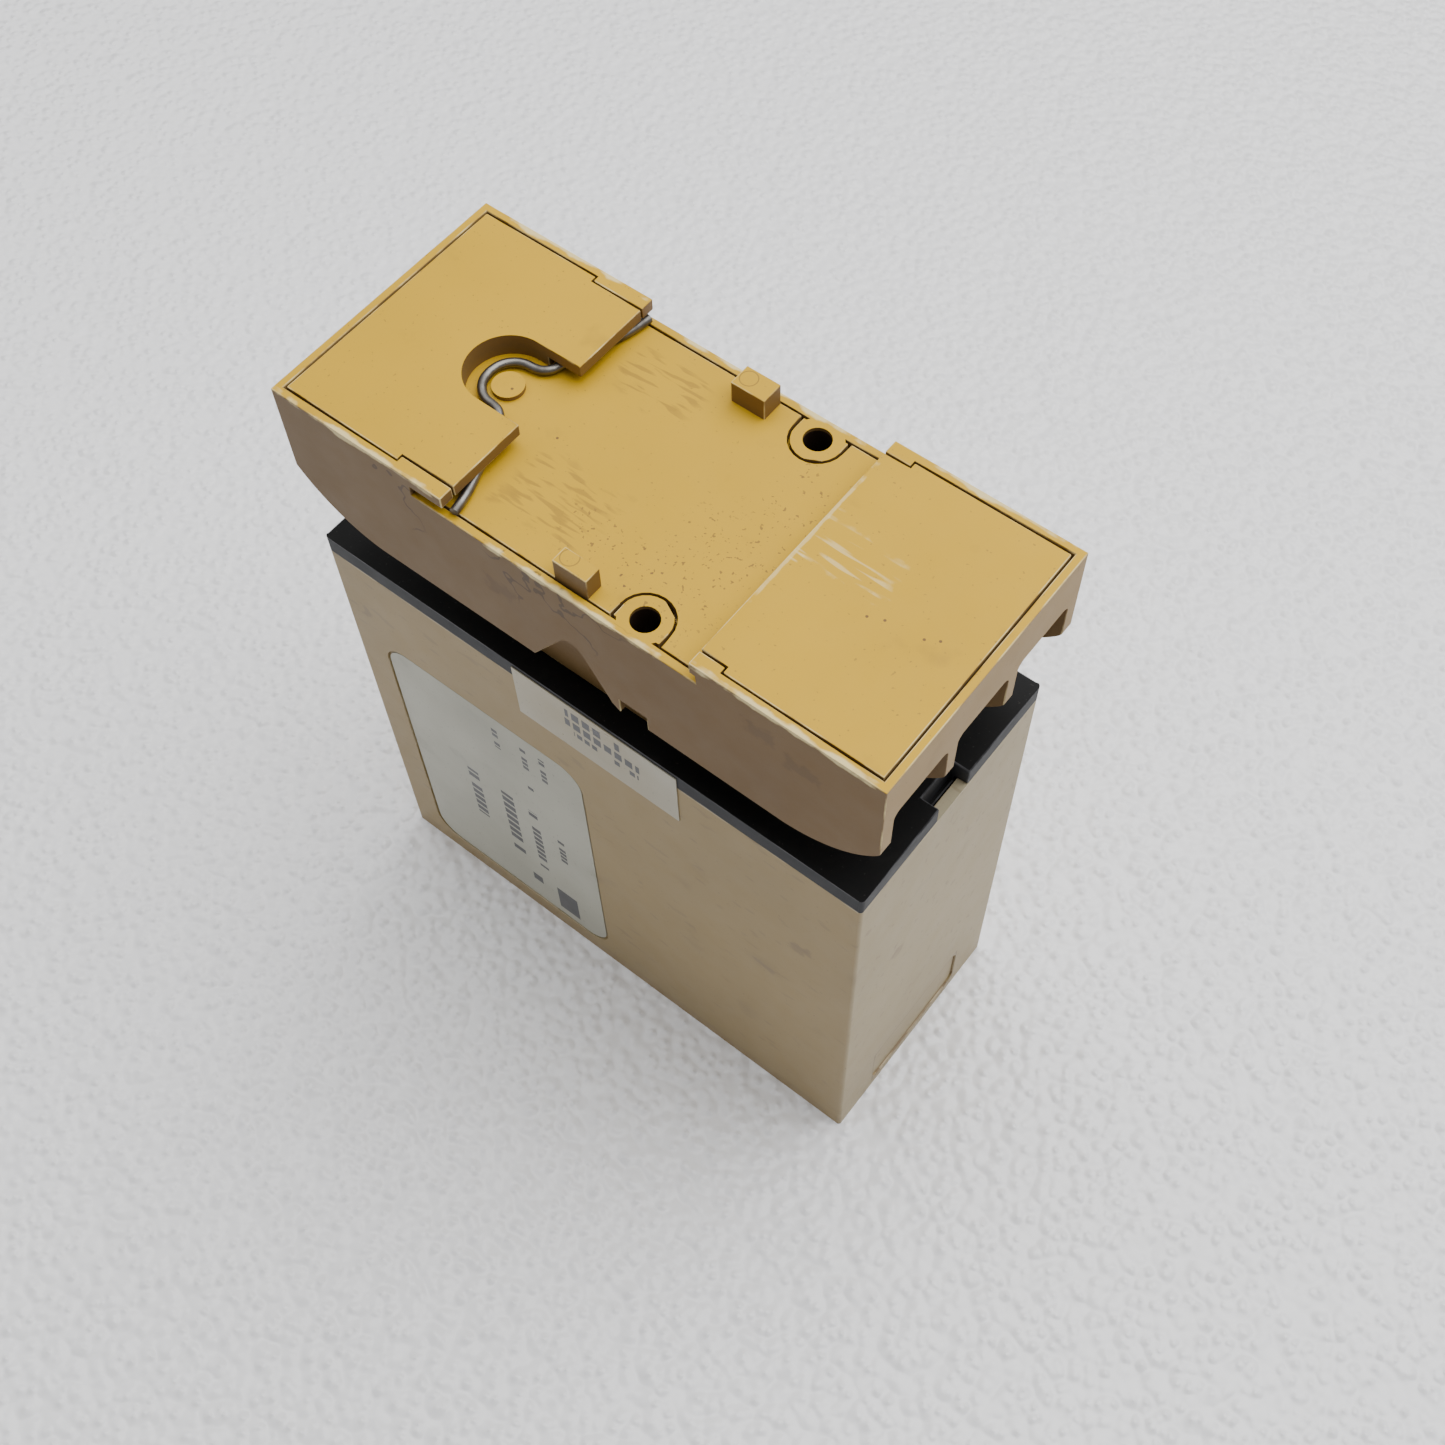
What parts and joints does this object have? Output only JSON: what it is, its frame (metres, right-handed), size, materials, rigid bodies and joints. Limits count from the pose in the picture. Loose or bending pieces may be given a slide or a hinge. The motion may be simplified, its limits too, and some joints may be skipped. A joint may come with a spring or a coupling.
{
  "type": "solid state relay",
  "caption": "Plug-in solid state relay in a tall rectangular case, standing on its front face with its rail-mount screw-terminal socket plugged on.",
  "frame": {"origin": "Middle of the footprint, on the surface that the relay's front face stands on", "axes": "+Z runs from the relay's front face through the plug to the socket's back; X runs along the long side of the case, with the rail spring at -X; Y runs across the case, with the rating label on the -Y side"},
  "size_m": [0.082, 0.035, 0.0994],
  "materials": {
    "cream_plastic": "moulded cream plastic, aged, faint grain",
    "black_plastic": "black moulded plastic with a fine grain",
    "ochre_plastic": "moulded ochre plastic, satin, scuffed edges",
    "plated_brass": "turned and pressed brass, lightly dulled",
    "plated_steel": "zinc plated steel",
    "spring_steel": "drawn spring steel wire, dull",
    "board_resin": "glass-filled resin board",
    "bare_aluminium": "bare rolled aluminium sheet",
    "black_resin": "moulded black resin package",
    "blue_film": "potted plastic capacitor case",
    "red_lens": "tinted lamp lens",
    "printed_film": "printed film label, yellowed",
    "silver_film": "silvered tamper film"
  },
  "bodies": {
    "root": {"relay_cover": "cream_plastic", "base_plate": "black_plastic", "plug_pin_1": "plated_brass", "plug_pin_2": "plated_brass", "plug_pin_3": "plated_brass", "plug_pin_4": "plated_brass", "plug_pin_5": "plated_brass", "plug_pin_6": "plated_brass", "plug_pin_7": "plated_brass", "plug_pin_8": "plated_brass", "plug_pin_9": "plated_brass", "plug_pin_10": "plated_brass", "plug_pin_11": "plated_brass", "pin_board": "board_resin", "circuit_board": "board_resin", "heat_spreader": "bare_aluminium", "power_switch": "black_resin", "optocoupler": "black_resin", "snubber_capacitor": "blue_film", "indicator_lamp": "red_lens", "rating_label": "printed_film", "joint_seal": "silver_film"},
    "socket": {"socket_housing": "ochre_plastic", "rear_cover": "ochre_plastic", "rail_spring_loop": "spring_steel", "contact_1": "plated_brass", "contact_2": "plated_brass", "contact_3": "plated_brass", "contact_4": "plated_brass", "contact_5": "plated_brass", "contact_6": "plated_brass", "contact_7": "plated_brass", "contact_8": "plated_brass", "contact_9": "plated_brass", "contact_10": "plated_brass", "contact_11": "plated_brass"},
    "spring_arm_near": {"rail_spring_arm_near": "spring_steel"},
    "spring_arm_far": {"rail_spring_arm_far": "spring_steel"},
    "clamp_1": {"wire_clamp_1": "plated_steel"},
    "clamp_2": {"wire_clamp_2": "plated_steel"},
    "clamp_3": {"wire_clamp_3": "plated_steel"},
    "clamp_4": {"wire_clamp_4": "plated_steel"},
    "clamp_5": {"wire_clamp_5": "plated_steel"},
    "clamp_6": {"wire_clamp_6": "plated_steel"},
    "clamp_7": {"wire_clamp_7": "plated_steel"},
    "clamp_8": {"wire_clamp_8": "plated_steel"},
    "clamp_9": {"wire_clamp_9": "plated_steel"},
    "clamp_10": {"wire_clamp_10": "plated_steel"},
    "clamp_11": {"wire_clamp_11": "plated_steel"},
    "screw_1": {"terminal_screw_1": "plated_steel"},
    "screw_2": {"terminal_screw_2": "plated_steel"},
    "screw_3": {"terminal_screw_3": "plated_steel"},
    "screw_4": {"terminal_screw_4": "plated_steel"},
    "screw_5": {"terminal_screw_5": "plated_steel"},
    "screw_6": {"terminal_screw_6": "plated_steel"},
    "screw_7": {"terminal_screw_7": "plated_steel"},
    "screw_8": {"terminal_screw_8": "plated_steel"},
    "screw_9": {"terminal_screw_9": "plated_steel"},
    "screw_10": {"terminal_screw_10": "plated_steel"},
    "screw_11": {"terminal_screw_11": "plated_steel"}
  },
  "joints": [
    {"name": "socket_unplug", "type": "slide", "parent": "root", "child": "socket", "axis": [0, 0, 1], "range_m": [0, 0.016]},
    {"name": "rail_spring_near", "type": "hinge", "parent": "socket", "child": "spring_arm_near", "pos_m": [-0.0206, -0.00365, 0.09713], "axis": [0, 0, -1], "range_deg": [0, 14], "stiffness_Nm_per_rad": 0.8},
    {"name": "rail_spring_far", "type": "hinge", "parent": "socket", "child": "spring_arm_far", "pos_m": [-0.0206, 0.00365, 0.09713], "axis": [0, 0, 1], "range_deg": [0, 14], "stiffness_Nm_per_rad": 0.8},
    {"name": "clamp_lift_1", "type": "slide", "parent": "socket", "child": "clamp_1", "axis": [0, 0, -1], "range_m": [0, 0.00175]},
    {"name": "clamp_lift_2", "type": "slide", "parent": "socket", "child": "clamp_2", "axis": [0, 0, -1], "range_m": [0, 0.00175]},
    {"name": "clamp_lift_3", "type": "slide", "parent": "socket", "child": "clamp_3", "axis": [0, 0, -1], "range_m": [0, 0.00175]},
    {"name": "clamp_lift_4", "type": "slide", "parent": "socket", "child": "clamp_4", "axis": [0, 0, -1], "range_m": [0, 0.00175]},
    {"name": "clamp_lift_5", "type": "slide", "parent": "socket", "child": "clamp_5", "axis": [0, 0, -1], "range_m": [0, 0.00175]},
    {"name": "clamp_lift_6", "type": "slide", "parent": "socket", "child": "clamp_6", "axis": [0, 0, -1], "range_m": [0, 0.00175]},
    {"name": "clamp_lift_7", "type": "slide", "parent": "socket", "child": "clamp_7", "axis": [0, 0, -1], "range_m": [0, 0.00175]},
    {"name": "clamp_lift_8", "type": "slide", "parent": "socket", "child": "clamp_8", "axis": [0, 0, -1], "range_m": [0, 0.00175]},
    {"name": "clamp_lift_9", "type": "slide", "parent": "socket", "child": "clamp_9", "axis": [0, 0, -1], "range_m": [0, 0.00175]},
    {"name": "clamp_lift_10", "type": "slide", "parent": "socket", "child": "clamp_10", "axis": [0, 0, -1], "range_m": [0, 0.00175]},
    {"name": "clamp_lift_11", "type": "slide", "parent": "socket", "child": "clamp_11", "axis": [0, 0, -1], "range_m": [0, 0.00175]},
    {"name": "screw_turn_1", "type": "hinge", "parent": "clamp_1", "child": "screw_1", "pos_m": [0.0352, 0, 0.09225], "axis": [0, 0, -1], "range_deg": [0, 900]},
    {"name": "screw_turn_2", "type": "hinge", "parent": "clamp_2", "child": "screw_2", "pos_m": [0.0249, 0.0109, 0.08645], "axis": [0, 0, -1], "range_deg": [0, 900]},
    {"name": "screw_turn_3", "type": "hinge", "parent": "clamp_3", "child": "screw_3", "pos_m": [0.0352, 0.0109, 0.09225], "axis": [0, 0, -1], "range_deg": [0, 900]},
    {"name": "screw_turn_4", "type": "hinge", "parent": "clamp_4", "child": "screw_4", "pos_m": [-0.0352, 0.0109, 0.09225], "axis": [0, 0, -1], "range_deg": [0, 900]},
    {"name": "screw_turn_5", "type": "hinge", "parent": "clamp_5", "child": "screw_5", "pos_m": [-0.0249, 0.0109, 0.08645], "axis": [0, 0, -1], "range_deg": [0, 900]},
    {"name": "screw_turn_6", "type": "hinge", "parent": "clamp_6", "child": "screw_6", "pos_m": [-0.0352, 0, 0.09225], "axis": [0, 0, -1], "range_deg": [0, 900]},
    {"name": "screw_turn_7", "type": "hinge", "parent": "clamp_7", "child": "screw_7", "pos_m": [-0.0249, 0, 0.08645], "axis": [0, 0, -1], "range_deg": [0, 900]},
    {"name": "screw_turn_8", "type": "hinge", "parent": "clamp_8", "child": "screw_8", "pos_m": [-0.0249, -0.0109, 0.08645], "axis": [0, 0, -1], "range_deg": [0, 900]},
    {"name": "screw_turn_9", "type": "hinge", "parent": "clamp_9", "child": "screw_9", "pos_m": [-0.0352, -0.0109, 0.09225], "axis": [0, 0, -1], "range_deg": [0, 900]},
    {"name": "screw_turn_10", "type": "hinge", "parent": "clamp_10", "child": "screw_10", "pos_m": [0.0352, -0.0109, 0.09225], "axis": [0, 0, -1], "range_deg": [0, 900]},
    {"name": "screw_turn_11", "type": "hinge", "parent": "clamp_11", "child": "screw_11", "pos_m": [0.0249, -0.0109, 0.08645], "axis": [0, 0, -1], "range_deg": [0, 900]}
  ],
  "couplings": [
    {"joint": "screw_turn_1", "follows": "clamp_lift_1", "rad_per_m": 8975.9},
    {"joint": "screw_turn_2", "follows": "clamp_lift_2", "rad_per_m": 8975.9},
    {"joint": "screw_turn_3", "follows": "clamp_lift_3", "rad_per_m": 8975.9},
    {"joint": "screw_turn_4", "follows": "clamp_lift_4", "rad_per_m": 8975.9},
    {"joint": "screw_turn_5", "follows": "clamp_lift_5", "rad_per_m": 8975.9},
    {"joint": "screw_turn_6", "follows": "clamp_lift_6", "rad_per_m": 8975.9},
    {"joint": "screw_turn_7", "follows": "clamp_lift_7", "rad_per_m": 8975.9},
    {"joint": "screw_turn_8", "follows": "clamp_lift_8", "rad_per_m": 8975.9},
    {"joint": "screw_turn_9", "follows": "clamp_lift_9", "rad_per_m": 8975.9},
    {"joint": "screw_turn_10", "follows": "clamp_lift_10", "rad_per_m": 8975.9},
    {"joint": "screw_turn_11", "follows": "clamp_lift_11", "rad_per_m": 8975.9}
  ]
}
